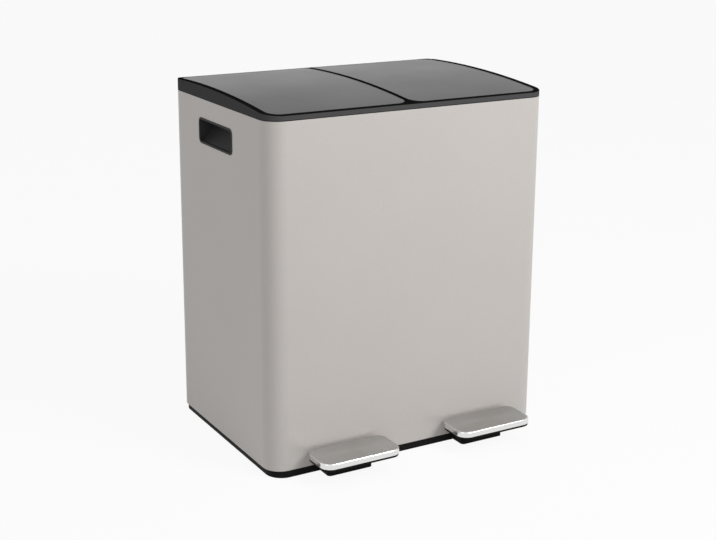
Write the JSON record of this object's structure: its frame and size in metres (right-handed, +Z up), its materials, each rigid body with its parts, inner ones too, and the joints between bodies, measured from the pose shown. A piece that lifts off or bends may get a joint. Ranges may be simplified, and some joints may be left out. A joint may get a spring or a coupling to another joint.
{
  "type": "recycling bin",
  "caption": "Tall double recycling bin: steel casing on a black base, side-by-side domed lids, foot pedals in front, recessed side hand-holds and lift-out inner buckets.",
  "frame": {"origin": "on the floor under the middle of the casing", "axes": "+Z up, -Y towards the user who stands at the pedals, +X to that user's right"},
  "size_m": [0.5174, 0.4436, 0.6019],
  "materials": {
    "casing_coat": "warm light grey coat, satin, on sheet steel",
    "panel_coat": "dark grey coat, satin, faintly brushed",
    "lid_plastic": "black, fine texture",
    "liner_plastic": "black, fine texture",
    "frame_plastic": "black, fine texture",
    "surround_plastic": "black, fine texture",
    "base_plastic": "black, fine texture",
    "cup_plastic": "black, satin",
    "carrier_plastic": "black, satin",
    "bucket_plastic": "dark grey, fine texture",
    "slider_plastic": "natural white, low friction",
    "damper_plastic": "black, smooth",
    "pedal_steel": "brushed along the width",
    "pin_steel": "ground",
    "screw_steel": "zinc plated",
    "zinc_sheet": "zinc-coated sheet",
    "rubber": "grey-black, matte"
  },
  "bodies": {
    "bin": {"casing": "casing_coat", "base": "base_plastic", "top_frame": "frame_plastic", "lid_surround": "surround_plastic", "feet": "rubber", "toe_pads": "rubber", "hinge_pins": "pin_steel", "lever_pivot_pins": "pin_steel", "rod_guides": "slider_plastic", "casing_screws": "screw_steel", "cover_screws": "screw_steel", "damper_cylinder_left": "damper_plastic", "rod_cover_left": "zinc_sheet", "handle_cup_left": "cup_plastic", "bucket_left": "bucket_plastic", "damper_cylinder_right": "damper_plastic", "rod_cover_right": "zinc_sheet", "handle_cup_right": "cup_plastic", "bucket_right": "bucket_plastic"},
    "lid_left": {"lid_frame_left": "lid_plastic", "lid_panel_left": "panel_coat", "lid_liner_left": "liner_plastic", "lid_bumpers_left": "rubber", "liner_screws_left": "screw_steel", "crank_pin_left": "pin_steel"},
    "lid_right": {"lid_frame_right": "lid_plastic", "lid_panel_right": "panel_coat", "lid_liner_right": "liner_plastic", "lid_bumpers_right": "rubber", "liner_screws_right": "screw_steel", "crank_pin_right": "pin_steel"},
    "pedal_left": {"pedal_cover_left": "pedal_steel", "pedal_carrier_left": "carrier_plastic", "pedal_lever_left": "zinc_sheet", "pedal_screws_left": "screw_steel", "lever_end_pin_left": "pin_steel"},
    "pedal_right": {"pedal_cover_right": "pedal_steel", "pedal_carrier_right": "carrier_plastic", "pedal_lever_right": "zinc_sheet", "pedal_screws_right": "screw_steel", "lever_end_pin_right": "pin_steel"},
    "rod_left": {"push_rod_left": "pin_steel", "rod_yoke_left": "slider_plastic", "rod_foot_left": "slider_plastic", "damper_arm_left": "zinc_sheet", "damper_piston_left": "pin_steel"},
    "rod_right": {"push_rod_right": "pin_steel", "rod_yoke_right": "slider_plastic", "rod_foot_right": "slider_plastic", "damper_arm_right": "zinc_sheet", "damper_piston_right": "pin_steel"}
  },
  "joints": [
    {"name": "lid_left_hinge", "type": "hinge", "parent": "bin", "child": "lid_left", "pos_m": [0, 0.1745, 0.59033], "axis": [-1, 0, 0], "range_deg": [0, 80]},
    {"name": "pedal_left_pivot", "type": "hinge", "parent": "bin", "child": "pedal_left", "pos_m": [0, -0.04, 0.0245], "axis": [1, 0, 0], "range_deg": [0, 5.49]},
    {"name": "rod_left_slide", "type": "slide", "parent": "bin", "child": "rod_left", "axis": [0, 0, 1], "range_m": [0, 0.01928]},
    {"name": "lid_right_hinge", "type": "hinge", "parent": "bin", "child": "lid_right", "pos_m": [0, 0.1745, 0.59033], "axis": [-1, 0, 0], "range_deg": [0, 80]},
    {"name": "pedal_right_pivot", "type": "hinge", "parent": "bin", "child": "pedal_right", "pos_m": [0, -0.04, 0.0245], "axis": [1, 0, 0], "range_deg": [0, 5.49]},
    {"name": "rod_right_slide", "type": "slide", "parent": "bin", "child": "rod_right", "axis": [0, 0, 1], "range_m": [0, 0.01928]}
  ],
  "couplings": [
    {"joint": "pedal_left_pivot", "follows": "lid_left_hinge", "ratio": 0.068571},
    {"joint": "rod_left_slide", "follows": "lid_left_hinge", "m_per_rad": 0.013811},
    {"joint": "pedal_right_pivot", "follows": "lid_right_hinge", "ratio": 0.068571},
    {"joint": "rod_right_slide", "follows": "lid_right_hinge", "m_per_rad": 0.013811}
  ]
}
